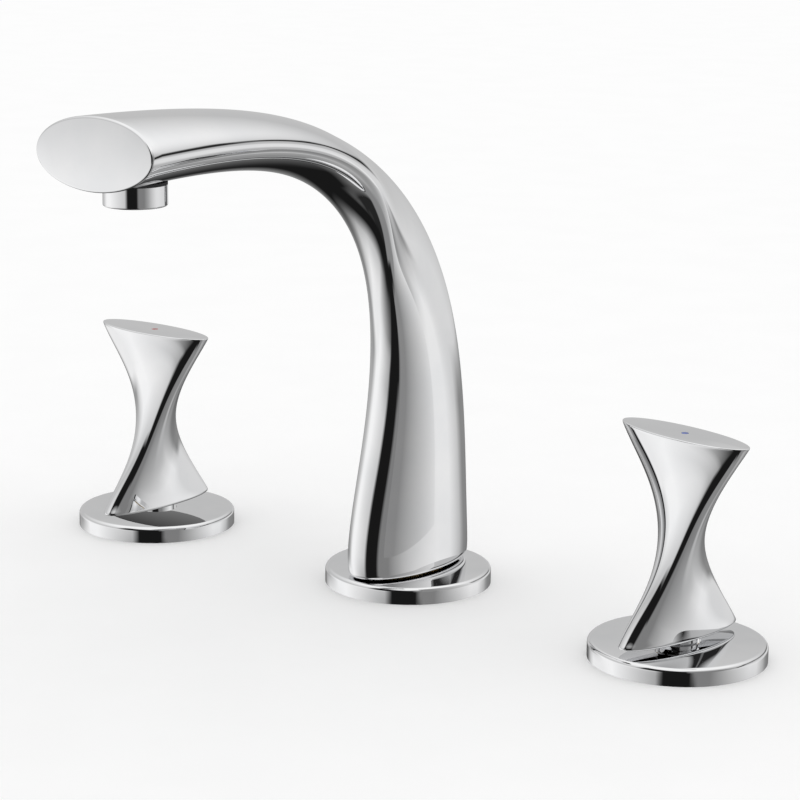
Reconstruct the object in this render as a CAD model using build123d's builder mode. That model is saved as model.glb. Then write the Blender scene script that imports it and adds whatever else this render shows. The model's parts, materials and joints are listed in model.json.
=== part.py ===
from build123d import *
import os
from math import atan2, comb, cos, degrees, radians, sin

# A widespread bathroom faucet: a twisted spout and two twisted quarter-turn handles,
# each on a round deck plate, with the valves, shanks and nuts that hold them to the deck.
# The origin is on the deck, at the spout's axis. +X is to the right, -Y towards the user.
# Lengths are in millimetres and turns in degrees.

# Layout on the deck
handle_spacing = 203.2
handle_setforward = 5.5
deck_thickness = 25.0

# Clearances and shared small sizes
thread_clearance = 0.05
running_clearance = 0.05
loose_clearance = 0.3
cut_overrun = 1.0

# How many arcs outline an oval section, and the direction of their first joint
oval_arcs = 3
oval_joint_turn = 30

# Deck plates
plate_radius = 25.0
plate_height = 5.0
plate_edge_round = 1.3
plate_wall = 1.6
plate_rim = 2.4
gasket_width = 2.6
hub_hole_clearance = 0.8

# Spout body, as an oval that shrinks, bends forward and turns a quarter from base to outlet.
# Each list of shares pulls a smooth curve along from its first value to its last.
spout_base_gap = 0.5
spout_reach = 127.2
spout_rise = 136.6
spout_half_length = 23.7
spout_half_width = 12.2
spout_wall = 2.4
spout_base_round = 1.5
spout_face_round = 0.7
spout_face_lean = 10.5
spout_forward_shares = (0, 0, 0.023, -0.252, 0.238, 0.282, 0.288, 1)
spout_rise_shares = (0, 0.096, 0.307, 0.801, 0.839, 0.921, 1.021, 1)
spout_length_shares = (1, 1.072, 0.326, 1.029, 1.299, 0.903)
spout_width_shares = (1, 0.893, 1.097, 0.555, 0.463, 0.795)
spout_turn_shares = (-1, -1.090, -0.851, -0.540, 0.217, 0)
quarter_turn = 90
spout_station_count = 15
lean_sharpness = 8
waterway_end_wall = 5.0
waterway_first_station = 3
waterway_ledge = 1.6

# Spout socket: the plug that the body sits over and is screwed to
socket_recess_depth = 5.0
socket_spigot_radius = 9.5
socket_spigot_length = 18.0
socket_ring_radius = 1.0
socket_ring_spacing = 6.0
socket_foot_step = 1.4
socket_length_share = 0.74
spout_screw_radius = 1.5
spout_screw_length = 5.5
spout_screw_grip = 3.0
key_socket_share = 0.5
key_depth_share = 0.5

# Aerator, screwed into the underside of the spout
aerator_radius = 8.5
aerator_drop = 5.0
aerator_setback = 14.8
aerator_neck_radius = 7.3
aerator_neck_length = 2.6
aerator_sink = 1.4
aerator_wall = 1.6
aerator_edge_round = 0.5
aerator_seal_thickness = 0.8
aerator_insert_height = 4.4
aerator_screen_thickness = 0.4
aerator_screen_inset = 0.5
aerator_hole_radius = 0.55
aerator_hole_pitch = 1.8
aerator_hole_rings = 3
screen_hole_share = 0.8

# Threaded shank and tee under the spout
shank_radius = 10.4775
shank_bore_radius = 5.5
shank_neck_radius = 6.5
shank_neck_bore_radius = 4.5
shank_below_deck = 60.0
shank_in_socket = 9.0
tee_radius = 13.8
tee_grip_length = 14.0
tee_body_drop = 17.0
tee_floor = 3.0
tee_chamber_radius = 8.0
tee_seal_thickness = 1.5
hose_thread_radius = 8.331
hose_bore_radius = 4.0
tee_arm_length = 28.0

# Bent copper tubes from the valves to the tee, with a union nut at each end
cross_tube_radius = 4.76
cross_tube_wall = 0.9
cross_tube_entry = 9.0
cross_tube_straight = 12.0
cross_tube_bend_radius = 40.0
union_nut_wall = 2.8
union_nut_grip = 8.0
union_nut_cover = 3.0

# Washers and lock nuts under the deck
washer_width = 8.0
rubber_washer_thickness = 3.0
steel_washer_thickness = 1.5
steel_washer_inset = 1.0
lock_nut_height = 7.0
lock_nut_wall = 4.6
lock_nut_chamfer = 0.8
thread_chamfer = 1.0
collar_chamfer = 1.2

# Valve body
valve_thread_radius = 13.22
valve_head_gap = 0.3
valve_bore_radius = 9.5
valve_seat_depth = 30.0
valve_collar_radius = 15.5
valve_collar_height = 20.0
inlet_radius = 10.4775
inlet_length = 15.0
inlet_bore_radius = 4.5
outlet_length = 14.0
outlet_bore_radius = 3.5
passage_radius = 1.5
passage_offset = 8.2
top_nut_radius = 18.5
top_nut_height = 2.4

# Ceramic cartridge
cartridge_skirt_wall = 1.1
cartridge_foot_gap = 1.0
disc_radius = 7.3
disc_thickness = 3.0
disc_window_radius = 1.9
disc_window_offset = 3.2
disc_key_width = 3.0
seat_seal_radius = 6.5
seat_seal_bore_radius = 5.2
seat_seal_thickness = 2.0
window_width = 7.0
spindle_flange_thickness = 4.0
spindle_radius = 4.9
spindle_tongue_depth = 1.4
spindle_tongue_width = 3.0
tongue_length_share = 0.9
spindle_ring_radius = 0.9
spindle_ring_depth = 7.0
spline_radius = 4.0
spline_top_height = 21.0
spline_teeth = 20
spline_tooth_depth = 0.4

# Handle, as an oval that narrows to a waist and turns a quarter from bottom to top
handle_bottom_height = 6.65
handle_top_height = 63.85
handle_end_half_length = 22.8
handle_waist_half_length = 12.0
handle_end_half_width = 7.2
handle_waist_half_width = 6.4
handle_swirl_share = 1.25
handle_station_count = 11
handle_top_round = 0.5
handle_bottom_round = 0.8
hub_radius = 5.6
hub_drop = 2.4
insert_wall = 0.9
insert_cap = 1.55
insert_end_gap = 0.6
handle_screw_radius = 1.9
handle_screw_length = 2.2
handle_screw_drop = 6.85
index_dot_radius = 1.0
index_dot_depth = 0.6

# Each handle is pressed on its own insert, and the cold one lies half a spline tooth over.
spline_pitch = 360.0 / spline_teeth
hot_rest_turn = 0.0
cold_rest_turn = -spline_pitch / 2

# Heights and radii that follow from the sizes above
plate_ceiling = plate_height - plate_wall
pocket_radius = plate_radius - plate_rim
hub_hole_radius = hub_radius + hub_hole_clearance
spout_base_height = plate_height + spout_base_gap
valve_top = plate_ceiling - valve_head_gap
tee_arm_height = -shank_below_deck - tee_body_drop / 2
collar_bottom = tee_arm_height - valve_collar_height / 2
collar_top = tee_arm_height + valve_collar_height / 2
valve_bottom = collar_bottom - inlet_length
outlet_reach = valve_collar_radius + outlet_length
disc_seat_height = -valve_seat_depth + seat_seal_thickness
moving_disc_height = disc_seat_height + disc_thickness
spindle_flange_bottom = moving_disc_height + disc_thickness
spindle_flange_top = spindle_flange_bottom + spindle_flange_thickness
cartridge_bottom = -valve_seat_depth + cartridge_foot_gap
cartridge_skirt_radius = disc_radius + running_clearance + cartridge_skirt_wall
insert_radius = spline_radius + insert_wall
hub_bottom = handle_bottom_height - hub_drop
insert_bottom = hub_bottom + insert_end_gap
insert_top = spline_top_height + loose_clearance + insert_cap
handle_height = handle_top_height - handle_bottom_height
shank_bottom = -shank_below_deck

spout_centre = (0, 0, 0)

os.makedirs("parts", exist_ok=True)


def save(builder, name):
    """Labels a finished piece and writes its file."""
    builder.part.label = name
    export_step(builder.part, f"parts/{name}.step")


def draw_oval(half_length, half_width, turn):
    """An ellipse turned by an angle, as arcs that meet in the same directions at every turn."""
    arc_directions = [360 / oval_arcs * count + oval_joint_turn - turn for count in range(oval_arcs)]
    arc_starts = [degrees(atan2(half_length * sin(radians(direction)),
                                half_width * cos(radians(direction)))) for direction in arc_directions]
    with BuildSketch() as oval:
        with BuildLine():
            for start, end in zip(arc_starts, arc_starts[1:] + arc_starts[:1]):
                EllipticalCenterArc((0, 0), half_length, half_width, start_angle=start,
                                    arc_size=(end - start) % 360, rotation=turn)
        make_face()
    return oval.sketch


# Deck hardware that all three groups share


def make_plate(name, centre, hole_radius):
    """A polished round cover, hollow below, with a rounded upper rim."""
    with BuildPart() as plate:
        with BuildSketch(Plane(origin=centre)):
            Circle(plate_radius)
        extrude(amount=plate_height)
        fillet(plate.faces().sort_by(Axis.Z)[-1].edges(), radius=plate_edge_round)
        with BuildSketch(Plane(origin=centre)):
            Circle(pocket_radius)
        extrude(amount=plate_ceiling, mode=Mode.SUBTRACT)
        with BuildSketch(Plane(origin=centre)):
            Circle(hole_radius)
        extrude(amount=plate_height, mode=Mode.SUBTRACT)
    save(plate, name)


def make_ring(name, centre, height, outer_radius, inner_radius, thickness):
    """A flat ring whose lower face is at the given height."""
    with BuildPart() as ring:
        with BuildSketch(Plane(origin=(centre[0], centre[1], height))):
            Circle(outer_radius)
            Circle(inner_radius, mode=Mode.SUBTRACT)
        extrude(amount=thickness)
    save(ring, name)


def make_lock_nut(name, centre, top_height, thread_radius):
    """A hexagonal nut with chamfered corners, below the given height."""
    with BuildPart() as nut:
        with BuildSketch(Plane(origin=(centre[0], centre[1], top_height - lock_nut_height))):
            RegularPolygon(thread_radius + lock_nut_wall, 6, major_radius=False)
        extrude(amount=lock_nut_height)
        chamfer(nut.edges().filter_by(Axis.Z, reverse=True), length=lock_nut_chamfer)
        with BuildSketch(Plane(origin=(centre[0], centre[1], top_height - lock_nut_height))):
            Circle(thread_radius + thread_clearance)
        extrude(amount=lock_nut_height, mode=Mode.SUBTRACT)
    save(nut, name)


def make_deck_hardware(group, centre, thread_radius, hole_radius):
    """The plate and gasket on the deck, and the washers and nut that clamp from below."""
    make_plate(f"{group}_plate", centre, hole_radius)
    gasket_radius = pocket_radius - thread_clearance
    gasket_bore = gasket_radius - gasket_width
    make_ring(f"{group}_plate_gasket", centre, 0, gasket_radius, gasket_bore, plate_ceiling)
    washer_bore = thread_radius + loose_clearance
    washer_radius = washer_bore + washer_width
    rubber_bottom = -deck_thickness - rubber_washer_thickness
    steel_bottom = rubber_bottom - steel_washer_thickness
    make_ring(f"{group}_rubber_washer", centre, rubber_bottom, washer_radius, washer_bore,
              rubber_washer_thickness)
    make_ring(f"{group}_steel_washer", centre, steel_bottom, washer_radius - steel_washer_inset,
              washer_bore, steel_washer_thickness)
    make_lock_nut(f"{group}_lock_nut", centre, steel_bottom, thread_radius)


# Spout body and what is in it

spout_points = [
    (0, -spout_reach * forward, spout_base_height + spout_rise * rise)
    for forward, rise in zip(spout_forward_shares, spout_rise_shares)
]
with BuildLine() as spout_path:
    Bezier(*spout_points)
spout_line = spout_path.edge()


def blend(shares, position):
    """The value at a position from 0 to 1 on the smooth curve that the shares pull along."""
    degree = len(shares) - 1
    return sum(share * comb(degree, count) * position**count * (1 - position) ** (degree - count)
               for count, share in enumerate(shares))


def spout_plane(position):
    """The plane of an oval, square to the path but leaning back more and more near the outlet."""
    lean = Rot(-spout_face_lean * position**lean_sharpness, 0, 0)
    normal = (lean * Location(spout_line.tangent_at(position))).position
    return Plane(origin=spout_line.position_at(position), x_dir=(1, 0, 0), z_dir=normal)


def spout_oval(position, inset):
    """The outline of the spout at a position, drawn in by a wall."""
    return draw_oval(spout_half_length * blend(spout_length_shares, position) - inset,
                     spout_half_width * blend(spout_width_shares, position) - inset,
                     quarter_turn * blend(spout_turn_shares, position))


spout_positions = [count / (spout_station_count - 1) for count in range(spout_station_count)]
outlet_plane = spout_plane(1)
socket_half_length = spout_half_length * socket_length_share
socket_half_width = spout_half_width - spout_wall
outlet_half_length = spout_half_length * spout_length_shares[-1]
outlet_half_width = spout_half_width * spout_width_shares[-1]
aerator_y = -spout_reach + aerator_setback
aerator_bottom = spout_base_height + spout_rise - outlet_half_width - aerator_drop
aerator_shoulder = aerator_bottom + aerator_drop + aerator_sink
recess_top = spout_base_height + socket_recess_depth
spigot_top = recess_top + socket_spigot_length
waterway_start_radius = socket_spigot_radius - waterway_ledge
spout_screw_y = socket_half_length - spout_screw_grip
spout_screw_height = spout_base_height + socket_recess_depth / 2
spout_screw_plane = Plane(origin=(0, spout_screw_y, spout_screw_height), z_dir=(0, 1, 0))

with BuildPart() as waterway:
    with BuildSketch(Plane.XY.offset(spigot_top)):
        add(draw_oval(waterway_start_radius, waterway_start_radius, -quarter_turn))
    for position in spout_positions[waterway_first_station:-1]:
        with BuildSketch(spout_plane(position)):
            add(spout_oval(position, spout_wall))
    with BuildSketch(outlet_plane.offset(-waterway_end_wall)):
        add(draw_oval(outlet_half_length - 2 * spout_wall, outlet_half_width - spout_wall, 0))
    loft()

with BuildPart() as spout_body:
    for position in spout_positions:
        with BuildSketch(spout_plane(position)):
            add(spout_oval(position, 0))
    loft()
    fillet(spout_body.faces().sort_by(Axis.Z)[0].edges(), radius=spout_base_round)
    fillet(spout_body.faces().sort_by(Axis.Y)[0].edges(), radius=spout_face_round)
    add(waterway.part, mode=Mode.SUBTRACT)
    with BuildSketch(Plane.XY.offset(spout_base_height)):
        Ellipse(socket_half_length, socket_half_width, rotation=quarter_turn)
    extrude(amount=socket_recess_depth, mode=Mode.SUBTRACT)
    with BuildSketch(Plane.XY.offset(recess_top)):
        Circle(socket_spigot_radius + running_clearance)
    extrude(amount=socket_spigot_length + cut_overrun, mode=Mode.SUBTRACT)
    with BuildSketch(Plane(origin=(0, aerator_y, aerator_bottom))):
        Circle(aerator_radius + thread_clearance)
    extrude(amount=aerator_shoulder - aerator_bottom, mode=Mode.SUBTRACT)
    with BuildSketch(Plane(origin=(0, aerator_y, aerator_bottom))):
        Circle(aerator_neck_radius + thread_clearance)
    extrude(amount=outlet_half_width + aerator_drop, mode=Mode.SUBTRACT)
    with BuildSketch(spout_screw_plane):
        Circle(spout_screw_radius + thread_clearance)
    extrude(amount=spout_half_length, mode=Mode.SUBTRACT)
save(spout_body, "spout_body")


def ring_height(count):
    """The height of one of the socket's two sealing rings, counted from below."""
    return recess_top + socket_spigot_length / 2 + (count - 0.5) * socket_ring_spacing


with BuildPart() as spout_socket:
    with BuildSketch(Plane.XY.offset(plate_height)):
        Ellipse(socket_half_length - socket_foot_step, socket_half_width - socket_foot_step,
                rotation=quarter_turn)
    extrude(amount=spout_base_gap)
    with BuildSketch(Plane.XY.offset(spout_base_height)):
        Ellipse(socket_half_length - running_clearance, socket_half_width - running_clearance,
                rotation=quarter_turn)
    extrude(amount=socket_recess_depth)
    with BuildSketch(Plane.XY.offset(recess_top)):
        Circle(socket_spigot_radius)
    extrude(amount=socket_spigot_length)
    with BuildSketch(Plane.XY.offset(plate_height)):
        Circle(shank_neck_radius + thread_clearance)
    extrude(amount=shank_in_socket, mode=Mode.SUBTRACT)
    with BuildSketch(Plane.XY.offset(plate_height)):
        Circle(shank_neck_bore_radius)
    extrude(amount=spigot_top - plate_height, mode=Mode.SUBTRACT)
    for ring in range(2):
        with BuildSketch(Plane.XY.offset(ring_height(ring) - socket_ring_radius)):
            Circle(socket_spigot_radius + cut_overrun)
            Circle(socket_spigot_radius - 2 * socket_ring_radius, mode=Mode.SUBTRACT)
        extrude(amount=2 * socket_ring_radius, mode=Mode.SUBTRACT)
    with BuildSketch(spout_screw_plane):
        Circle(spout_screw_radius + thread_clearance)
    extrude(amount=spout_screw_length, mode=Mode.SUBTRACT)
save(spout_socket, "spout_socket")


def make_seal_ring(name, centre, height, bore_radius, section_radius):
    """A round rubber ring that lies against the inside of a bore."""
    with BuildPart() as ring:
        with BuildSketch(Plane(origin=(centre[0], centre[1], height), x_dir=(1, 0, 0), z_dir=(0, -1, 0))):
            with Locations((bore_radius - section_radius, 0)):
                Circle(section_radius - running_clearance / 2)
        revolve(axis=Axis((centre[0], centre[1], height), (0, 0, 1)))
    save(ring, name)


for ring in range(2):
    make_seal_ring(f"spout_socket_ring_{ring + 1}", spout_centre, ring_height(ring),
                   socket_spigot_radius, socket_ring_radius)


def make_set_screw(name, plane, radius, length):
    """A headless screw along the plane's normal, with a hexagonal key socket at its far end."""
    with BuildPart() as screw:
        with BuildSketch(plane):
            Circle(radius)
        extrude(amount=length)
        with BuildSketch(plane.offset(length)):
            RegularPolygon(radius * key_socket_share, 6, major_radius=False)
        extrude(amount=-length * key_depth_share, mode=Mode.SUBTRACT)
    save(screw, name)


make_set_screw("spout_screw", spout_screw_plane, spout_screw_radius, spout_screw_length)
make_deck_hardware("spout", spout_centre, shank_radius, shank_neck_radius + loose_clearance)

with BuildPart() as spout_shank:
    with BuildSketch(Plane.XY.offset(shank_bottom)):
        Circle(shank_radius)
    extrude(amount=plate_ceiling - shank_bottom)
    with BuildSketch(Plane.XY.offset(plate_ceiling)):
        Circle(shank_neck_radius)
    extrude(amount=plate_height + shank_in_socket - plate_ceiling)
    with BuildSketch(Plane.XY.offset(shank_bottom)):
        Circle(shank_bore_radius)
    extrude(amount=-shank_bottom, mode=Mode.SUBTRACT)
    with BuildSketch():
        Circle(shank_neck_bore_radius)
    extrude(amount=plate_height + shank_in_socket, mode=Mode.SUBTRACT)
    chamfer(spout_shank.faces().sort_by(Axis.Z)[0].outer_wire().edges(), length=thread_chamfer)
save(spout_shank, "spout_shank")

# Tee below the shank, which brings the hot and the cold supply together
tee_bottom = shank_bottom - tee_body_drop

with BuildPart() as spout_tee:
    with BuildSketch(Plane.XY.offset(tee_bottom)):
        Circle(tee_radius)
    extrude(amount=tee_body_drop + tee_grip_length)
    with BuildSketch(Plane(origin=(-tee_arm_length, 0, tee_arm_height), z_dir=(1, 0, 0))):
        Circle(hose_thread_radius)
    extrude(amount=2 * tee_arm_length)
    chamfer(spout_tee.faces().filter_by(Axis.X).edges(), length=thread_chamfer)
    with BuildSketch(Plane.XY.offset(tee_bottom + tee_floor)):
        Circle(tee_chamber_radius)
    extrude(amount=tee_body_drop, mode=Mode.SUBTRACT)
    with BuildSketch(Plane.XY.offset(shank_bottom - tee_seal_thickness)):
        Circle(shank_radius + thread_clearance)
    extrude(amount=tee_seal_thickness + tee_grip_length, mode=Mode.SUBTRACT)
    with BuildSketch(Plane(origin=(-tee_arm_length, 0, tee_arm_height), z_dir=(1, 0, 0))):
        Circle(hose_bore_radius)
    extrude(amount=2 * tee_arm_length, mode=Mode.SUBTRACT)
    for side in (-1, 1):
        with BuildSketch(Plane(origin=(side * (tee_arm_length - cross_tube_entry), 0, tee_arm_height),
                               z_dir=(side, 0, 0))):
            Circle(cross_tube_radius + running_clearance)
        extrude(amount=cross_tube_entry, mode=Mode.SUBTRACT)
save(spout_tee, "spout_tee")

make_ring("spout_tee_seal", spout_centre, shank_bottom - tee_seal_thickness, shank_radius,
          tee_chamber_radius, tee_seal_thickness)

# Aerator
aerator_body_top = aerator_shoulder - aerator_seal_thickness
aerator_neck_top = aerator_shoulder + aerator_neck_length
aerator_bore_radius = aerator_radius - aerator_wall
aerator_neck_bore_radius = aerator_neck_radius - aerator_wall
screen_bottom = aerator_bottom + aerator_screen_inset
aerator_insert_bottom = screen_bottom + aerator_screen_thickness
aerator_centre = (0, aerator_y, 0)


def aerator_plane(height):
    """A level plane on the aerator's axis."""
    return Plane(origin=(0, aerator_y, height))


with BuildPart() as aerator_housing:
    with BuildSketch(aerator_plane(aerator_bottom)):
        Circle(aerator_radius)
    extrude(amount=aerator_body_top - aerator_bottom)
    fillet(aerator_housing.faces().sort_by(Axis.Z)[0].edges(), radius=aerator_edge_round)
    with BuildSketch(aerator_plane(aerator_body_top)):
        Circle(aerator_neck_radius)
    extrude(amount=aerator_neck_top - aerator_body_top)
    with BuildSketch(aerator_plane(aerator_bottom)):
        Circle(aerator_bore_radius)
    extrude(amount=aerator_insert_bottom + aerator_insert_height - aerator_bottom, mode=Mode.SUBTRACT)
    with BuildSketch(aerator_plane(aerator_bottom)):
        Circle(aerator_neck_bore_radius)
    extrude(amount=aerator_neck_top - aerator_bottom, mode=Mode.SUBTRACT)
save(aerator_housing, "aerator_housing")

make_ring("aerator_seal", aerator_centre, aerator_body_top, aerator_radius,
          aerator_neck_radius + thread_clearance, aerator_seal_thickness)


def make_perforated_disc(name, height, thickness, hole_radius):
    """A disc that fills the aerator's bore, with rings of holes around one in the middle."""
    with BuildPart() as disc:
        with BuildSketch(aerator_plane(height)):
            Circle(aerator_bore_radius - running_clearance)
            Circle(hole_radius, mode=Mode.SUBTRACT)
            for ring_number in range(1, aerator_hole_rings + 1):
                with PolarLocations(aerator_hole_pitch * ring_number, 6 * ring_number):
                    Circle(hole_radius, mode=Mode.SUBTRACT)
        extrude(amount=thickness)
    save(disc, name)


make_perforated_disc("aerator_insert", aerator_insert_bottom, aerator_insert_height, aerator_hole_radius)
make_perforated_disc("aerator_screen", screen_bottom, aerator_screen_thickness,
                     aerator_hole_radius * screen_hole_share)

# Valves, handles and what is in them


def spline_outline(growth):
    """The toothed outline of the spindle's end, grown by a clearance for the hole around it."""
    with BuildSketch() as outline:
        Circle(spline_radius + growth)
        with PolarLocations(spline_radius + growth, spline_teeth):
            Circle(spline_tooth_depth - growth, mode=Mode.SUBTRACT)
    return outline.sketch


def make_valve_body(name, centre, outlet_side):
    """The brass body: a threaded neck through the deck, a collar, an inlet below and a side outlet."""
    outlet_plane = Plane(origin=(centre[0], centre[1], tee_arm_height), z_dir=(outlet_side, 0, 0))
    with BuildPart() as valve:
        with BuildSketch(Plane(origin=centre).offset(collar_top)):
            Circle(valve_thread_radius)
        extrude(amount=valve_top - collar_top)
        with BuildSketch(Plane(origin=centre).offset(collar_bottom)):
            Circle(valve_collar_radius)
        extrude(amount=valve_collar_height)
        chamfer(valve.faces().sort_by(Axis.Z)[0].edges(), length=collar_chamfer)
        with BuildSketch(Plane(origin=centre).offset(valve_bottom)):
            Circle(inlet_radius)
        extrude(amount=inlet_length)
        chamfer(valve.faces().sort_by(Axis.Z)[0].edges(), length=thread_chamfer)
        with BuildSketch(outlet_plane):
            Circle(hose_thread_radius)
        extrude(amount=outlet_reach)
        with BuildSketch(Plane(origin=centre).offset(-valve_seat_depth)):
            Circle(valve_bore_radius)
        extrude(amount=valve_seat_depth + valve_top, mode=Mode.SUBTRACT)
        with BuildSketch(Plane(origin=centre).offset(valve_bottom)):
            Circle(inlet_bore_radius)
        extrude(amount=-valve_seat_depth - valve_bottom, mode=Mode.SUBTRACT)
        with BuildSketch(Plane(origin=centre).offset(tee_arm_height)):
            with Locations((outlet_side * passage_offset, 0)):
                Circle(passage_radius)
        extrude(amount=-valve_seat_depth - tee_arm_height, mode=Mode.SUBTRACT)
        with BuildSketch(outlet_plane.offset(passage_offset - passage_radius)):
            Circle(outlet_bore_radius)
        extrude(amount=outlet_reach, mode=Mode.SUBTRACT)
        with BuildSketch(outlet_plane.offset(outlet_reach - cross_tube_entry)):
            Circle(cross_tube_radius + running_clearance)
        extrude(amount=cross_tube_entry, mode=Mode.SUBTRACT)
    save(valve, name)


def make_cartridge_housing(name, centre):
    """The brass housing that holds the discs in its skirt and guides the spindle in its neck."""
    key_slot_height = disc_seat_height + disc_thickness - cartridge_bottom
    with BuildPart() as housing:
        with BuildSketch(Plane(origin=centre).offset(cartridge_bottom)):
            Circle(cartridge_skirt_radius)
        extrude(amount=spindle_flange_top - cartridge_bottom)
        with BuildSketch(Plane(origin=centre).offset(spindle_flange_top)):
            Circle(valve_bore_radius - thread_clearance)
        extrude(amount=valve_top - spindle_flange_top)
        with BuildSketch(Plane(origin=centre).offset(cartridge_bottom)):
            Circle(disc_radius + running_clearance)
        extrude(amount=spindle_flange_top + running_clearance - cartridge_bottom, mode=Mode.SUBTRACT)
        with BuildSketch(Plane(origin=centre).offset(cartridge_bottom)):
            Circle(spindle_radius + running_clearance)
        extrude(amount=valve_top - cartridge_bottom, mode=Mode.SUBTRACT)
        with BuildSketch(Plane(origin=centre).offset(cartridge_bottom)):
            Rectangle(disc_key_width + 2 * running_clearance, 2 * cartridge_skirt_radius + cut_overrun)
        extrude(amount=key_slot_height, mode=Mode.SUBTRACT)
        with BuildSketch(Plane(origin=centre).offset(moving_disc_height)):
            Rectangle(2 * cartridge_skirt_radius + cut_overrun, window_width)
        extrude(amount=disc_thickness, mode=Mode.SUBTRACT)
    save(housing, name)


def make_discs(group, centre):
    """The fixed ceramic disc with its two windows, and the moving one with two open notches."""
    with BuildPart() as fixed_disc:
        with BuildSketch(Plane(origin=centre).offset(disc_seat_height)):
            Circle(disc_radius)
            Rectangle(disc_key_width, 2 * cartridge_skirt_radius)
            with Locations((0, disc_window_offset), (0, -disc_window_offset)):
                Circle(disc_window_radius, mode=Mode.SUBTRACT)
        extrude(amount=disc_thickness)
    save(fixed_disc, f"{group}_fixed_disc")
    notch_length = disc_radius - disc_window_offset + cut_overrun
    with BuildPart() as moving_disc:
        with BuildSketch(Plane(origin=centre).offset(moving_disc_height)):
            Circle(disc_radius)
            with Locations((disc_window_offset, 0), (-disc_window_offset, 0)):
                Circle(disc_window_radius, mode=Mode.SUBTRACT)
            with Locations((disc_window_offset + notch_length / 2, 0),
                           (-disc_window_offset - notch_length / 2, 0)):
                Rectangle(notch_length, 2 * disc_window_radius, mode=Mode.SUBTRACT)
        extrude(amount=disc_thickness)
        with BuildSketch(Plane(origin=centre).offset(spindle_flange_bottom)):
            Rectangle(spindle_tongue_width + 2 * running_clearance, 2 * disc_radius + cut_overrun)
        extrude(amount=-spindle_tongue_depth - running_clearance, mode=Mode.SUBTRACT)
    save(moving_disc, f"{group}_moving_disc")


def make_spindle(group, centre):
    """The spindle: a tongue that drives the disc, a flange, a sealed journal and a toothed end."""
    with BuildPart() as spindle:
        with BuildSketch(Plane(origin=centre).offset(spindle_flange_bottom)):
            Circle(disc_radius)
        extrude(amount=spindle_flange_thickness)
        with BuildSketch(Plane(origin=centre).offset(spindle_flange_bottom)):
            Rectangle(spindle_tongue_width, 2 * (disc_radius - running_clearance) * tongue_length_share)
        extrude(amount=-spindle_tongue_depth)
        with BuildSketch(Plane(origin=centre).offset(spindle_flange_top)):
            Circle(spindle_radius)
        extrude(amount=valve_top - spindle_flange_top)
        with BuildSketch(Plane(origin=centre).offset(valve_top)):
            add(spline_outline(0))
        extrude(amount=spline_top_height - valve_top)
        with BuildSketch(Plane(origin=centre).offset(-spindle_ring_depth - spindle_ring_radius)):
            Circle(spindle_radius + cut_overrun)
            Circle(spindle_radius - 2 * spindle_ring_radius, mode=Mode.SUBTRACT)
        extrude(amount=2 * spindle_ring_radius, mode=Mode.SUBTRACT)
    save(spindle, f"{group}_spindle")
    make_seal_ring(f"{group}_spindle_ring", centre, -spindle_ring_depth, spindle_radius,
                   spindle_ring_radius)


def make_handle(group, centre, rest_turn):
    """The twisted handle with its hub, and the toothed insert, set screw and dot that it carries."""
    turn = radians(rest_turn)
    screw_direction = (-cos(turn), -sin(turn), 0)
    screw_start = spline_radius + running_clearance
    screw_plane = Plane(origin=(centre[0] + screw_start * screw_direction[0],
                                centre[1] + screw_start * screw_direction[1],
                                spline_top_height - handle_screw_drop), z_dir=screw_direction)
    with BuildPart() as handle:
        for station in range(handle_station_count):
            share = station / (handle_station_count - 1)
            flare_share = (2 * share - 1) ** 2
            twist_share = share - handle_swirl_share * share * (1 - share) * (1 - 2 * share)
            with BuildSketch(Plane(origin=centre).offset(handle_bottom_height + handle_height * share)):
                add(draw_oval(
                    handle_waist_half_length
                    + (handle_end_half_length - handle_waist_half_length) * flare_share,
                    handle_waist_half_width
                    + (handle_end_half_width - handle_waist_half_width) * flare_share,
                    quarter_turn * (twist_share - 1) + rest_turn))
        loft()
        fillet(handle.faces().sort_by(Axis.Z)[0].edges(), radius=handle_bottom_round)
        fillet(handle.faces().sort_by(Axis.Z)[-1].edges(), radius=handle_top_round)
        with BuildSketch(Plane(origin=centre).offset(hub_bottom)):
            Circle(hub_radius)
        extrude(amount=hub_drop + handle_bottom_round)
        with BuildSketch(Plane(origin=centre).offset(hub_bottom)):
            Circle(insert_radius + running_clearance)
        extrude(amount=insert_top - hub_bottom, mode=Mode.SUBTRACT)
        with BuildSketch(Plane(origin=centre).offset(handle_top_height)):
            Circle(index_dot_radius + running_clearance)
        extrude(amount=-index_dot_depth, mode=Mode.SUBTRACT)
        with BuildSketch(screw_plane):
            Circle(handle_screw_radius + thread_clearance)
        extrude(amount=handle_end_half_width, mode=Mode.SUBTRACT)
    save(handle, f"{group}_handle")

    with BuildPart() as insert:
        with BuildSketch(Plane(origin=centre).offset(insert_bottom)):
            Circle(insert_radius)
        extrude(amount=insert_top - insert_bottom)
        with BuildSketch(Plane(origin=centre).offset(insert_bottom)):
            add(spline_outline(running_clearance))
        extrude(amount=spline_top_height + loose_clearance - insert_bottom, mode=Mode.SUBTRACT)
        with BuildSketch(screw_plane):
            Circle(handle_screw_radius + thread_clearance)
        extrude(amount=insert_radius, mode=Mode.SUBTRACT)
    save(insert, f"{group}_handle_insert")

    make_set_screw(f"{group}_handle_screw", screw_plane, handle_screw_radius, handle_screw_length)

    with BuildPart() as index_dot:
        with BuildSketch(Plane(origin=centre).offset(handle_top_height - index_dot_depth)):
            Circle(index_dot_radius)
        extrude(amount=index_dot_depth)
    save(index_dot, f"{group}_index_dot")


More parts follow.
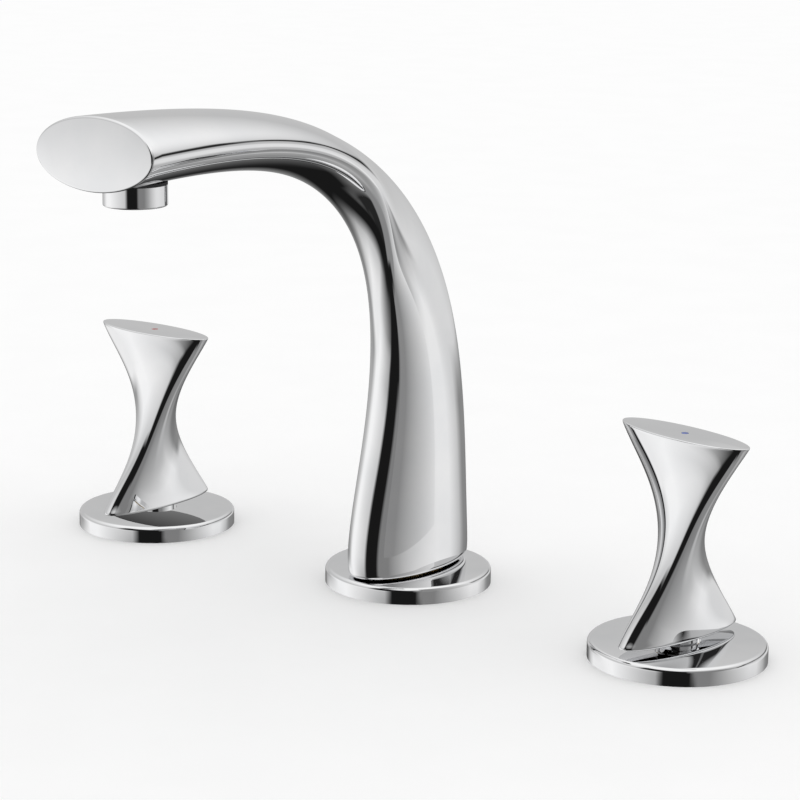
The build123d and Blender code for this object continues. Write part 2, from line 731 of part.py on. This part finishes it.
def make_union_nut(name, face_centre, side):
    """A hexagonal nut on a threaded end, over its face and close around the tube in it."""
    nut_plane = Plane(origin=face_centre, z_dir=(side, 0, 0))
    with BuildPart() as nut:
        with BuildSketch(nut_plane.offset(-union_nut_grip)):
            RegularPolygon(hose_thread_radius + union_nut_wall, 6, major_radius=False)
        extrude(amount=union_nut_grip + union_nut_cover)
        chamfer(nut.edges().filter_by(Axis.X, reverse=True), length=lock_nut_chamfer)
        with BuildSketch(nut_plane.offset(-union_nut_grip)):
            Circle(hose_thread_radius + thread_clearance)
        extrude(amount=union_nut_grip, mode=Mode.SUBTRACT)
        with BuildSketch(nut_plane):
            Circle(cross_tube_radius + running_clearance)
        extrude(amount=union_nut_cover, mode=Mode.SUBTRACT)
    save(nut, name)


def make_cross_tube(group, centre, side):
    """The copper tube from a valve's outlet to the tee's arm, and the nuts that hold it."""
    tee_face = (side * tee_arm_length, 0, tee_arm_height)
    valve_face = (centre[0] - side * outlet_reach, centre[1], tee_arm_height)
    tee_end = (tee_face[0] - side * cross_tube_entry, tee_face[1], tee_arm_height)
    valve_end = (valve_face[0] + side * cross_tube_entry, valve_face[1], tee_arm_height)
    tee_bend = (tee_face[0] + side * cross_tube_straight, tee_face[1], tee_arm_height)
    valve_bend = (valve_face[0] - side * cross_tube_straight, valve_face[1], tee_arm_height)
    with BuildPart() as tube:
        with BuildLine():
            FilletPolyline(tee_end, tee_bend, valve_bend, valve_end, radius=cross_tube_bend_radius)
        with BuildSketch(Plane(origin=tee_end, z_dir=(side, 0, 0))):
            Circle(cross_tube_radius)
            Circle(cross_tube_radius - cross_tube_wall, mode=Mode.SUBTRACT)
        sweep()
    save(tube, f"{group}_cross_tube")
    make_union_nut(f"{group}_tee_nut", tee_face, side)
    make_union_nut(f"{group}_valve_nut", valve_face, -side)


for group, side, rest_turn in (("hot", -1, hot_rest_turn), ("cold", 1, cold_rest_turn)):
    centre = (side * handle_spacing / 2, -handle_setforward, 0)
    make_deck_hardware(group, centre, valve_thread_radius, hub_hole_radius)
    make_ring(f"{group}_top_nut", centre, 0, top_nut_radius, valve_thread_radius + thread_clearance,
              top_nut_height)
    make_valve_body(f"{group}_valve_body", centre, -side)
    make_cartridge_housing(f"{group}_cartridge_housing", centre)
    make_ring(f"{group}_seat_seal", centre, -valve_seat_depth, seat_seal_radius, seat_seal_bore_radius,
              seat_seal_thickness)
    make_discs(group, centre)
    make_spindle(group, centre)
    make_handle(group, centre, rest_turn)
    make_cross_tube(group, centre, side)
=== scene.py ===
import bmesh
import bpy
import json
import math
import numpy as np
from mathutils import Matrix, Vector


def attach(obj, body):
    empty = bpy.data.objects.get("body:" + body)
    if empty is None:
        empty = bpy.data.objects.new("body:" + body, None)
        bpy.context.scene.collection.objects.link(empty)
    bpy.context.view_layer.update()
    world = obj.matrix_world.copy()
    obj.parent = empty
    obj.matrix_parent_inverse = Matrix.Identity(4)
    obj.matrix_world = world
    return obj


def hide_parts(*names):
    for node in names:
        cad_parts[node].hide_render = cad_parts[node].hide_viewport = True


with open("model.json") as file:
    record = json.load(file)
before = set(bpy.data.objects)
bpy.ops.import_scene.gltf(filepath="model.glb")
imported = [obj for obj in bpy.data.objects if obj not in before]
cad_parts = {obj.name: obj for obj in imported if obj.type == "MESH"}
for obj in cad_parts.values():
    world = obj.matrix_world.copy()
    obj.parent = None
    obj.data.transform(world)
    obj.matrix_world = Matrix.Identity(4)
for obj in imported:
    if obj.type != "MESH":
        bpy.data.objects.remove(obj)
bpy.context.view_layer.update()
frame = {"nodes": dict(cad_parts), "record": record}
print("frame loaded:", len(frame["nodes"]), "nodes")

mm = 0.001
sharpAngle = math.radians(40)
scene = bpy.context.scene
scene.view_settings.view_transform = "Standard"

# the two handle groups: how far apart and how far in front of the spout's axis they stand, in mm
groups = {"apart": 203.2, "setForward": 5.5, "unmirrored": "hot"}


def groupSpot(side):
    return side * groups["apart"] / 2, -groups["setForward"]


# Meshes

def newMesh(name, points, faces):
    mesh = bpy.data.meshes.new(name)
    mesh.from_pydata([tuple(point) for point in points], [], faces)
    mesh.validate()
    mesh.update()
    mesh.shade_smooth()
    mesh.set_sharp_from_angle(angle=sharpAngle)
    piece = bpy.data.objects.new(name, mesh)
    scene.collection.objects.link(piece)
    return piece


def gridFaces(rings, around):
    # quads between closed rings of points
    faces = []
    for ring in range(rings - 1):
        for step in range(around):
            nextStep = (step + 1) % around
            faces.append((ring * around + step, ring * around + nextStep,
                          (ring + 1) * around + nextStep, (ring + 1) * around + step))
    return faces


def bernstein(pulls, place):
    # the value at a place from 0 to 1 on the smooth curve that the pulls draw
    degree = len(pulls) - 1
    return sum(pull * math.comb(degree, k) * place**k * (1 - place) ** (degree - k)
               for k, pull in enumerate(pulls))


def edgeRound(radius, steps):
    # (inset, rise) pairs from the side wall over a quarter round to the flat end
    quarter = [k / steps * math.pi / 2 for k in range(steps + 1)]
    return [(radius * (1 - math.cos(angle)), radius * math.sin(angle)) for angle in quarter]


def ovalRing(centre, across, up, halfLength, halfWidth, turn, around):
    # points of an ellipse in the plane of two unit vectors; the ellipse is turned by an angle
    steps = np.arange(around) * 2 * math.pi / around
    u = halfLength * np.cos(steps) * math.cos(turn) - halfWidth * np.sin(steps) * math.sin(turn)
    v = halfLength * np.cos(steps) * math.sin(turn) + halfWidth * np.sin(steps) * math.cos(turn)
    return centre + np.outer(u, across) + np.outer(v, up)


def closedMesh(name, rings):
    # a skin through rings of points, with a flat face on the first ring and on the last
    around = len(rings[0])
    faces = gridFaces(len(rings), around)
    last = (len(rings) - 1) * around
    faces.append(tuple(range(around))[::-1])
    faces.append(tuple(range(last, last + around)))
    return newMesh(name, np.concatenate(rings) * mm, faces)


def turnedMesh(name, centre, outline, around):
    # a ring-shaped piece from (radius, height) pairs that go once round its section
    angles = np.arange(around) * 2 * math.pi / around
    rings = [np.stack((centre[0] + radius * np.cos(angles), centre[1] + radius * np.sin(angles),
                       np.full(around, height)), axis=1) for radius, height in outline]
    faces = gridFaces(len(rings) + 1, around)
    count = len(rings) * around
    faces = [tuple(corner % count for corner in face) for face in faces]
    return newMesh(name, np.concatenate(rings) * mm, faces)


def drillHole(piece, start, direction, radius, depth, around=48):
    # cuts a round hole along a direction
    bpy.ops.mesh.primitive_cylinder_add(vertices=around, radius=radius * mm, depth=depth * mm)
    drill = bpy.context.object
    direction = Vector(direction).normalized()
    middle = (Vector(start) + direction * depth / 2) * mm
    drill.matrix_world = Matrix.Translation(middle) @ direction.to_track_quat("Z", "Y").to_matrix().to_4x4()
    cut = piece.modifiers.new("hole", "BOOLEAN")
    cut.operation = "DIFFERENCE"
    cut.object = drill
    bpy.context.view_layer.update()
    drilled = bpy.data.meshes.new_from_object(piece.evaluated_get(bpy.context.evaluated_depsgraph_get()))
    piece.modifiers.clear()
    piece.data = drilled
    drilled.shade_smooth()
    drilled.set_sharp_from_angle(angle=sharpAngle)
    bpy.data.objects.remove(drill)


# Materials

def newMaterial(name):
    material = bpy.data.materials.new(name)
    material.use_nodes = True
    nodes = material.node_tree.nodes
    return material, nodes, material.node_tree.links, nodes["Principled BSDF"]


def addNoise(nodes, links, scale, detail=3.0):
    place = nodes.new("ShaderNodeTexCoord")
    noise = nodes.new("ShaderNodeTexNoise")
    noise.inputs["Scale"].default_value = scale
    noise.inputs["Detail"].default_value = detail
    links.new(place.outputs["Object"], noise.inputs["Vector"])
    return noise.outputs["Fac"]


def addRange(nodes, links, source, low, high, fromLow=0.3, fromHigh=0.7):
    spread = nodes.new("ShaderNodeMapRange")
    spread.inputs["From Min"].default_value = fromLow
    spread.inputs["From Max"].default_value = fromHigh
    spread.inputs["To Min"].default_value = low
    spread.inputs["To Max"].default_value = high
    links.new(source, spread.inputs["Value"])
    return spread.outputs["Result"]


def addBump(nodes, links, height, strength, depth, shader):
    bump = nodes.new("ShaderNodeBump")
    bump.inputs["Strength"].default_value = strength
    bump.inputs["Distance"].default_value = depth * mm
    links.new(height, bump.inputs["Height"])
    links.new(bump.outputs["Normal"], shader.inputs["Normal"])


def addColourMix(nodes, links, factor, colourA, colourB, shader, stops=(0.35, 0.65)):
    ramp = nodes.new("ShaderNodeValToRGB")
    for element, position, colour in zip(ramp.color_ramp.elements, stops, (colourA, colourB)):
        element.position = position
        element.color = (*colour, 1)
    links.new(factor, ramp.inputs["Fac"])
    links.new(ramp.outputs["Color"], shader.inputs["Base Color"])


def makeChrome():
    look = {"deep": (0.86, 0.865, 0.875), "clear": (0.90, 0.90, 0.905), "cloud": 70.0, "smoothest": 0.012,
            "roughest": 0.035, "polish": 900.0, "polishDetail": 2.0, "polishBump": 0.012, "polishDepth": 0.02}
    material, nodes, links, shader = newMaterial("polishedChrome")
    shader.inputs["Metallic"].default_value = 1.0
    cloud = addNoise(nodes, links, look["cloud"])
    addColourMix(nodes, links, cloud, look["deep"], look["clear"], shader)
    links.new(addRange(nodes, links, cloud, look["smoothest"], look["roughest"]), shader.inputs["Roughness"])
    polish = addNoise(nodes, links, look["polish"], look["polishDetail"])
    addBump(nodes, links, polish, look["polishBump"], look["polishDepth"], shader)
    return material


def makeTurned(name, dark, light, smoothest, roughest, grooveBump=0.25):
    # machined metal with fine turning lines around its length
    look = {"cloud": 180.0, "cloudDetail": 5.0, "grooves": 2200.0, "wander": 1.5, "grooveDepth": 0.03}
    material, nodes, links, shader = newMaterial(name)
    shader.inputs["Metallic"].default_value = 1.0
    cloud = addNoise(nodes, links, look["cloud"], look["cloudDetail"])
    addColourMix(nodes, links, cloud, dark, light, shader)
    links.new(addRange(nodes, links, cloud, smoothest, roughest), shader.inputs["Roughness"])
    place = nodes.new("ShaderNodeTexCoord")
    wave = nodes.new("ShaderNodeTexWave")
    wave.bands_direction = "Z"
    wave.inputs["Scale"].default_value = look["grooves"]
    wave.inputs["Distortion"].default_value = look["wander"]
    links.new(place.outputs["Object"], wave.inputs["Vector"])
    addBump(nodes, links, wave.outputs["Fac"], grooveBump, look["grooveDepth"], shader)
    return material


def makeDull(name, dark, light, smoothest, roughest, grainBump=0.3):
    # rubber, plastic, ceramic and enamel: a mottled colour and a fine grain
    look = {"cloud": 240.0, "cloudDetail": 4.0, "grain": 1400.0, "grainDepth": 0.03}
    material, nodes, links, shader = newMaterial(name)
    shader.inputs["Metallic"].default_value = 0.0
    cloud = addNoise(nodes, links, look["cloud"], look["cloudDetail"])
    addColourMix(nodes, links, cloud, dark, light, shader)
    grain = addNoise(nodes, links, look["grain"])
    links.new(addRange(nodes, links, grain, smoothest, roughest), shader.inputs["Roughness"])
    addBump(nodes, links, grain, grainBump, look["grainDepth"], shader)
    return material


# each with its darker and lighter colour, then its smoothest and roughest
chrome = makeChrome()
finishes = {
    "polished_chrome": chrome,
    "brass": makeTurned("machinedBrass", (0.62, 0.44, 0.17), (0.74, 0.56, 0.26), 0.18, 0.32),
    "copper": makeTurned("drawnCopper", (0.66, 0.32, 0.18), (0.80, 0.44, 0.28), 0.22, 0.36, grooveBump=0.08),
    "stainless_steel": makeTurned("stainlessSteel", (0.50, 0.50, 0.51), (0.64, 0.64, 0.65), 0.20, 0.34),
    "rubber": makeDull("blackRubber", (0.012, 0.012, 0.013), (0.028, 0.028, 0.030), 0.55, 0.80),
    "ceramic": makeDull("lappedCeramic", (0.74, 0.73, 0.69), (0.84, 0.83, 0.80), 0.08, 0.16, grainBump=0.05),
    "white_plastic": makeDull("mouldedAcetal", (0.74, 0.74, 0.72), (0.83, 0.83, 0.81), 0.35, 0.50),
    "hot_index": makeDull("redEnamel", (0.30, 0.02, 0.02), (0.42, 0.03, 0.03), 0.10, 0.20, grainBump=0.05),
    "cold_index": makeDull("blueEnamel", (0.02, 0.06, 0.30), (0.03, 0.09, 0.42), 0.10, 0.20, grainBump=0.05),
}
slotOf = {row["node"]: row["material_slot"] for row in frame["record"]["subparts"]}
for nodeName, node in frame["nodes"].items():
    node.data.materials.clear()
    node.data.materials.append(finishes[slotOf[nodeName]])
    # chrome mirrors nothing below the deck, and nothing of the group that the arch would show otherwise
    lowest = min((node.matrix_world @ Vector(corner)).z for corner in node.bound_box)
    node.visible_glossy = lowest > -mm and not node.name.startswith(groups["unmirrored"] + "_")
print("materials assigned")


# Spout, handles and plates

def finishShell(shell, body, node, group=""):
    shell.data.materials.append(chrome)
    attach(shell, body)
    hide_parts(node)
    shell.visible_glossy = group != groups["unmirrored"]


def makeSpout():
    # an oval that leans forward along an arch and turns a quarter on its way; lengths are in mm, lean is in
    # degrees, and the rows are shares of reach, rise, half length, half width and a quarter turn
    size = {"base": 5.5, "reach": 127.2, "rise": 136.6, "halfLength": 23.7, "halfWidth": 12.2,
            "lean": 10.5, "leanSharpness": 8, "baseRound": 1.5, "faceRound": 0.7, "screwStart": 14.5,
            "screwHeight": 8.0, "screwRadius": 1.55, "rings": 240, "around": 144, "roundSteps": 7,
            "slopeStep": 0.0001,
            "forward": (0, 0, 0.023, -0.252, 0.238, 0.282, 0.288, 1),
            "up": (0, 0.096, 0.307, 0.801, 0.839, 0.921, 1.021, 1),
            "length": (1, 1.072, 0.326, 1.029, 1.299, 0.903),
            "width": (1, 0.893, 1.097, 0.555, 0.463, 0.795),
            "turn": (-1, -1.090, -0.851, -0.540, 0.217, 0)}
    across = np.array((1.0, 0.0, 0.0))
    degree = len(size["up"]) - 1

    def station(place, inset):
        centre = np.array((0.0, -size["reach"] * bernstein(size["forward"], place),
                           size["base"] + size["rise"] * bernstein(size["up"], place)))
        near, far = max(place - size["slopeStep"], 0), min(place + size["slopeStep"], 1)
        run = -size["reach"] * (bernstein(size["forward"], far) - bernstein(size["forward"], near))
        climb = size["rise"] * (bernstein(size["up"], far) - bernstein(size["up"], near))
        tilt = math.atan2(climb, run) - math.radians(size["lean"]) * place ** size["leanSharpness"]
        up = np.array((0.0, math.sin(tilt), -math.cos(tilt)))
        return ovalRing(centre, across, up, size["halfLength"] * bernstein(size["length"], place) - inset,
                        size["halfWidth"] * bernstein(size["width"], place) - inset,
                        math.pi / 2 * bernstein(size["turn"], place), size["around"])

    # share of the path that a millimetre takes at each end
    baseStep = 1 / (degree * size["rise"] * size["up"][1])
    faceStep = 1 / (degree * size["reach"] * (1 - size["forward"][-2]))
    startPlace = size["baseRound"] * baseStep
    endPlace = 1 - size["faceRound"] * faceStep
    rings = [station((size["baseRound"] - rise) * baseStep, inset)
             for inset, rise in reversed(edgeRound(size["baseRound"], size["roundSteps"]))]
    rings += [station(startPlace + (endPlace - startPlace) * k / size["rings"], 0)
              for k in range(1, size["rings"])]
    rings += [station(endPlace + rise * faceStep, inset)
              for inset, rise in edgeRound(size["faceRound"], size["roundSteps"])]
    spout = closedMesh("spoutShell", rings)
    drillHole(spout, (0, size["screwStart"], size["screwHeight"]), (0, 1, 0), size["screwRadius"],
              size["halfLength"])
    finishShell(spout, "deck_assembly", "spout_body")


def makeHandle(group, side, restTurn):
    # an oval with a waist that turns a quarter on its way up, over a round hub with a bore; restTurn is the
    # handle's angle at rest in degrees
    size = {"bottom": 6.65, "top": 63.85, "endLength": 22.8, "waistLength": 12.0, "endWidth": 7.2,
            "waistWidth": 6.4, "swirl": 1.25, "topRound": 0.5, "bottomRound": 0.8, "hubRadius": 5.6,
            "hubBottom": 4.25, "boreRadius": 4.95, "boreTop": 22.85, "dotRadius": 1.05, "dotDepth": 0.6,
            "screwRadius": 1.95, "screwHeight": 14.15, "rings": 120, "around": 128, "roundSteps": 6}
    height = size["top"] - size["bottom"]
    turn = math.radians(restTurn)
    axis = np.array((*groupSpot(side), 0.0))
    across, up = np.array((1.0, 0.0, 0.0)), np.array((0.0, 1.0, 0.0))

    def circle(radius, level):
        return ovalRing(axis + (0, 0, level), across, up, radius, radius, turn, size["around"])

    def oval(level, inset):
        place = (level - size["bottom"]) / height
        flare = (2 * place - 1) ** 2
        twist = place - size["swirl"] * place * (1 - place) * (1 - 2 * place)
        return ovalRing(axis + (0, 0, level), across, up,
                        size["waistLength"] + (size["endLength"] - size["waistLength"]) * flare - inset,
                        size["waistWidth"] + (size["endWidth"] - size["waistWidth"]) * flare - inset,
                        math.pi / 2 * (twist - 1) + turn, size["around"])

    # from the bore down over the hub, out under the handle, up its wall and in to the dot's recess
    low, high = size["bottom"] + size["bottomRound"], size["top"] - size["topRound"]
    rings = [circle(size["boreRadius"], size["boreTop"]), circle(size["boreRadius"], size["hubBottom"]),
             circle(size["hubRadius"], size["hubBottom"]), circle(size["hubRadius"], size["bottom"])]
    rings += [oval(low - rise, inset)
              for inset, rise in reversed(edgeRound(size["bottomRound"], size["roundSteps"]))]
    rings += [oval(low + (high - low) * k / size["rings"], 0) for k in range(1, size["rings"])]
    rings += [oval(high + rise, inset) for inset, rise in edgeRound(size["topRound"], size["roundSteps"])]
    rings += [circle(size["dotRadius"], size["top"]),
              circle(size["dotRadius"], size["top"] - size["dotDepth"])]
    handle = closedMesh(group + "HandleShell", rings)
    drillHole(handle, (axis[0], axis[1], size["screwHeight"]), (-math.cos(turn), -math.sin(turn), 0),
              size["screwRadius"], size["endLength"])
    finishShell(handle, group + "_handle_body", group + "_handle", group)


def makePlate(group, centre, holeRadius):
    size = {"radius": 25.0, "height": 5.0, "round": 1.3, "ceiling": 3.4, "pocket": 22.6, "roundSteps": 10,
            "around": 192}
    outline = [(holeRadius, size["ceiling"]), (size["pocket"], size["ceiling"]), (size["pocket"], 0),
               (size["radius"], 0)]
    for inset, rise in edgeRound(size["round"], size["roundSteps"]):
        outline.append((size["radius"] - inset, size["height"] - size["round"] + rise))
    outline.append((holeRadius, size["height"]))
    plate = turnedMesh(group + "PlateShell", centre, outline, size["around"])
    finishShell(plate, "deck_assembly", group + "_plate", group)


holeRadii = {"shank": 6.8, "valve": 6.4}
makeSpout()
makeHandle("hot", -1, restTurn=0.0)
makeHandle("cold", 1, restTurn=-9.0)
makePlate("spout", (0, 0), holeRadii["shank"])
makePlate("hot", groupSpot(-1), holeRadii["valve"])
makePlate("cold", groupSpot(1), holeRadii["valve"])
print("spout, handles and plates made")


# Studio

def makeFloor():
    look = {"reach": 14.0, "pale": (0.975, 0.975, 0.975), "paler": (0.985, 0.985, 0.985), "speck": 30.0,
            "roughness": 0.6}
    bpy.ops.mesh.primitive_grid_add(x_subdivisions=2, y_subdivisions=2, size=look["reach"],
                                    location=(0, 0, 0))
    floor = bpy.context.object
    floor.name = "floor"
    material, nodes, links, shader = newMaterial("paleFloor")
    shader.inputs["Roughness"].default_value = look["roughness"]
    shader.inputs["Specular IOR Level"].default_value = 0.0
    speck = addNoise(nodes, links, look["speck"])
    addColourMix(nodes, links, speck, look["pale"], look["paler"], shader)
    floor.data.materials.append(material)
    floor.visible_glossy = False


def addMath(nodes, links, operation, *values):
    step = nodes.new("ShaderNodeMath")
    step.operation = operation
    for socket, value in zip(step.inputs, values):
        if isinstance(value, (int, float)):
            socket.default_value = value
        else:
            links.new(value, socket)
    return step.outputs["Value"]


def newGlow(name):
    # an emitting material, with its output still to be linked
    material = bpy.data.materials.new(name)
    material.use_nodes = True
    nodes, links = material.node_tree.nodes, material.node_tree.links
    nodes.clear()
    glow = nodes.new("ShaderNodeEmission")
    out = nodes.new("ShaderNodeOutputMaterial")
    return material, nodes, links, glow, out


def stageForMirrors(name, mesh, material):
    # a piece of the studio that only polished metal shows
    mesh.materials.append(material)
    part = bpy.data.objects.new(name, mesh)
    scene.collection.objects.link(part)
    part.visible_camera = False
    part.visible_diffuse = False
    part.visible_shadow = False
    part.visible_transmission = False


def addPanel(nodes, links, strength, turn, height, level, left, right, low, high, slope):
    # one soft lamp or black flag laid over those before it; its four edges are ramps in degrees
    middle = (left[0] + right[1]) / 2
    across = addMath(nodes, links, "WRAP", turn, middle + 180, middle - 180)
    offset = addMath(nodes, links, "MULTIPLY_ADD", across, -slope, slope * middle)
    up = addMath(nodes, links, "ADD", height, offset)
    share = addRange(nodes, links, across, 0, 1, *left)
    for source, ends, edge in ((across, (1, 0), right), (up, (0, 1), low), (up, (1, 0), high)):
        share = addMath(nodes, links, "MULTIPLY", share, addRange(nodes, links, source, *ends, *edge))
    rest = addMath(nodes, links, "SUBTRACT", level, strength)
    return addMath(nodes, links, "MULTIPLY_ADD", rest, share, strength)


def makeDome():
    # soft lamps and black flags round the faucet, each with its level, its left, right, low and high edge,
    # and its slope; 0 degrees is the front and 90 the right
    look = {"radius": 8.0, "segments": 64, "rings": 32, "plain": 0.55}
    panels = {
        "sky": (1.00, (-181, -180), (180, 181), (18, 57), (95, 96), 0),
        "low": (0.26, (-181, -180), (180, 181), (-96, -95), (-16, -8), 0),
        "rightHigh": (0.22, (40, 50), (92, 130), (-40, -30), (24, 60), 0),
        "leftDark": (0.02, (-130, -112), (40, 50), (-82, -78), (-36, -28), 0),
        "lampLeft": (1.00, (-98, -72), (-54, 26), (-64, -22), (-2, 18), 0),
        "lampLeftSide": (0.92, (-122, -98), (-72, -56), (-58, -26), (-18, -14), 0),
        "lampRight": (0.88, (76, 136), (152, 184), (-34, -14), (2, 10), 0),
        "lampRightEdge": (0.50, (122, 134), (143, 154), (-46, -38), (-28, -20), 0),
        "lampRightLow": (0.44, (122, 140), (150, 190), (-78, -66), (-48, -38), 0),
        "backGlow": (0.74, (120, 150), (185, 215), (-11, -7), (2, 10), 0),
        "backGrey": (0.25, (170, 182), (225, 235), (-30, -10), (-11, -8), 0),
        "backBlack": (0.01, (180, 220), (234, 250), (-72, -48), (-24, -12), 0),
        "ringLeft": (0.01, (-146, -136), (-50, -44), (-60, -56), (-47, -38), -0.42),
        "ring": (0.01, (-54, -46), (76, 90), (-80, -77), (-70, -58), 0),
        "flag": (0.01, (10, 18), (56, 61), (-82, -80), (-22, -14), 0),
        "flagMid": (0.01, (8, 18), (50, 57), (-30, -22), (0, 4), 0),
        "flagHigh": (0.01, (-20, -8), (46, 52), (-2, 4), (38, 50), -0.3),
        "lineRise": (0.02, (110, 116), (133, 136), (11, 15), (21, 25), 0.72),
        "lineTop": (0.02, (133, 136), (155, 158), (19, 23), (27, 31), 0),
        "lineFall": (0.02, (155, 158), (188, 200), (9, 13), (17, 21), -0.47),
    }
    ball = bmesh.new()
    bmesh.ops.create_uvsphere(ball, u_segments=look["segments"], v_segments=look["rings"],
                              radius=look["radius"])
    mesh = bpy.data.meshes.new("dome")
    ball.to_mesh(mesh)
    ball.free()
    material, nodes, links, glow, out = newGlow("studioDome")
    place = nodes.new("ShaderNodeTexCoord")
    unit = nodes.new("ShaderNodeVectorMath")
    unit.operation = "NORMALIZE"
    links.new(place.outputs["Object"], unit.inputs[0])
    split = nodes.new("ShaderNodeSeparateXYZ")
    links.new(unit.outputs["Vector"], split.inputs["Vector"])
    forward = addMath(nodes, links, "MULTIPLY", split.outputs["Y"], -1.0)
    turn = addMath(nodes, links, "DEGREES", addMath(nodes, links, "ARCTAN2", split.outputs["X"], forward))
    height = addMath(nodes, links, "DEGREES", addMath(nodes, links, "ARCSINE", split.outputs["Z"]))
    strength = look["plain"]
    for panel in panels.values():
        strength = addPanel(nodes, links, strength, turn, height, *panel)
    links.new(strength, glow.inputs["Strength"])
    links.new(glow.outputs["Emission"], out.inputs["Surface"])
    stageForMirrors("dome", mesh, material)


def makeScreen(name, corners, axis, places, levels):
    # a card that is seen from one side and clear from the other; its level changes along an axis
    mesh = bpy.data.meshes.new(name)
    mesh.from_pydata([Vector(corner) * mm for corner in corners], [], [tuple(range(len(corners)))])
    material, nodes, links, glow, out = newGlow(name)
    place = nodes.new("ShaderNodeTexCoord")
    split = nodes.new("ShaderNodeSeparateXYZ")
    links.new(place.outputs["Object"], split.inputs["Vector"])
    level = addRange(nodes, links, split.outputs[axis], *levels, places[0] * mm, places[1] * mm)
    links.new(level, glow.inputs["Strength"])
    side = nodes.new("ShaderNodeNewGeometry")
    clear = nodes.new("ShaderNodeBsdfTransparent")
    mix = nodes.new("ShaderNodeMixShader")
    links.new(side.outputs["Backfacing"], mix.inputs["Fac"])
    links.new(glow.outputs["Emission"], mix.inputs[1])
    links.new(clear.outputs["BSDF"], mix.inputs[2])
    links.new(mix.outputs["Shader"], out.inputs["Surface"])
    stageForMirrors(name, mesh, material)


def makeScreens():
    # a grey card that keeps the cold handle out of the column's mirror image
    right = {"x": 62, "front": -42, "back": 44, "low": 2, "high": 100, "places": (-22, 44),
             "levels": (0.26, 0.78)}
    corners = [(right["x"], right[end], right[level])
               for end, level in (("back", "low"), ("front", "low"), ("front", "high"), ("back", "high"))]
    makeScreen("screenRight", corners, "Y", right["places"], right["levels"])
    # a dark card that only mirrors show: a painted reflection of the unmirrored handle's underside in its
    # plate, darker towards the front
    under = {"z": 9.0, "halfLength": 21, "halfWidth": 10, "around": 32, "places": (-16, 5),
             "levels": (0.05, 0.18)}
    spot = groupSpot(-1)
    turns = [-2 * math.pi * k / under["around"] for k in range(under["around"])]
    rim = [(spot[0] + under["halfLength"] * math.cos(turn), spot[1] + under["halfWidth"] * math.sin(turn),
            under["z"]) for turn in turns]
    makeScreen("paintedUnderReflection", rim, "Y", under["places"], under["levels"])


def makeWorld():
    world = bpy.data.worlds.new("studio")
    world.use_nodes = True
    background = world.node_tree.nodes["Background"]
    background.inputs["Color"].default_value = (1, 1, 1, 1)
    background.inputs["Strength"].default_value = 1.0
    scene.world = world


def makeCamera():
    # place and aim are in mm, the focal length and the image are in pixels
    look = {"place": (487.24, -586.93, 236.32), "aim": (-153.62, 178.95, 0.0), "roll": 0.59,
            "focal": 2635.1, "imageSize": 800, "sensor": 36.0, "farthest": 20.0}
    data = bpy.data.cameras.new("camera")
    data.sensor_width = look["sensor"]
    data.lens = look["focal"] / look["imageSize"] * data.sensor_width
    data.clip_end = look["farthest"]
    camera = bpy.data.objects.new("camera", data)
    scene.collection.objects.link(camera)
    place, aim = Vector(look["place"]) * mm, Vector(look["aim"]) * mm
    forward = (aim - place).normalized()
    right = forward.cross(Vector((0, 0, 1))).normalized()
    up = right.cross(forward)
    roll = math.radians(look["roll"])
    rolledRight = right * math.cos(roll) + up * math.sin(roll)
    rolledUp = up * math.cos(roll) - right * math.sin(roll)
    turned = Matrix((rolledRight, rolledUp, -forward)).transposed().to_4x4()
    camera.matrix_world = Matrix.Translation(place) @ turned
    scene.camera = camera


makeFloor()
makeDome()
makeScreens()
makeWorld()
makeCamera()
print("studio set")
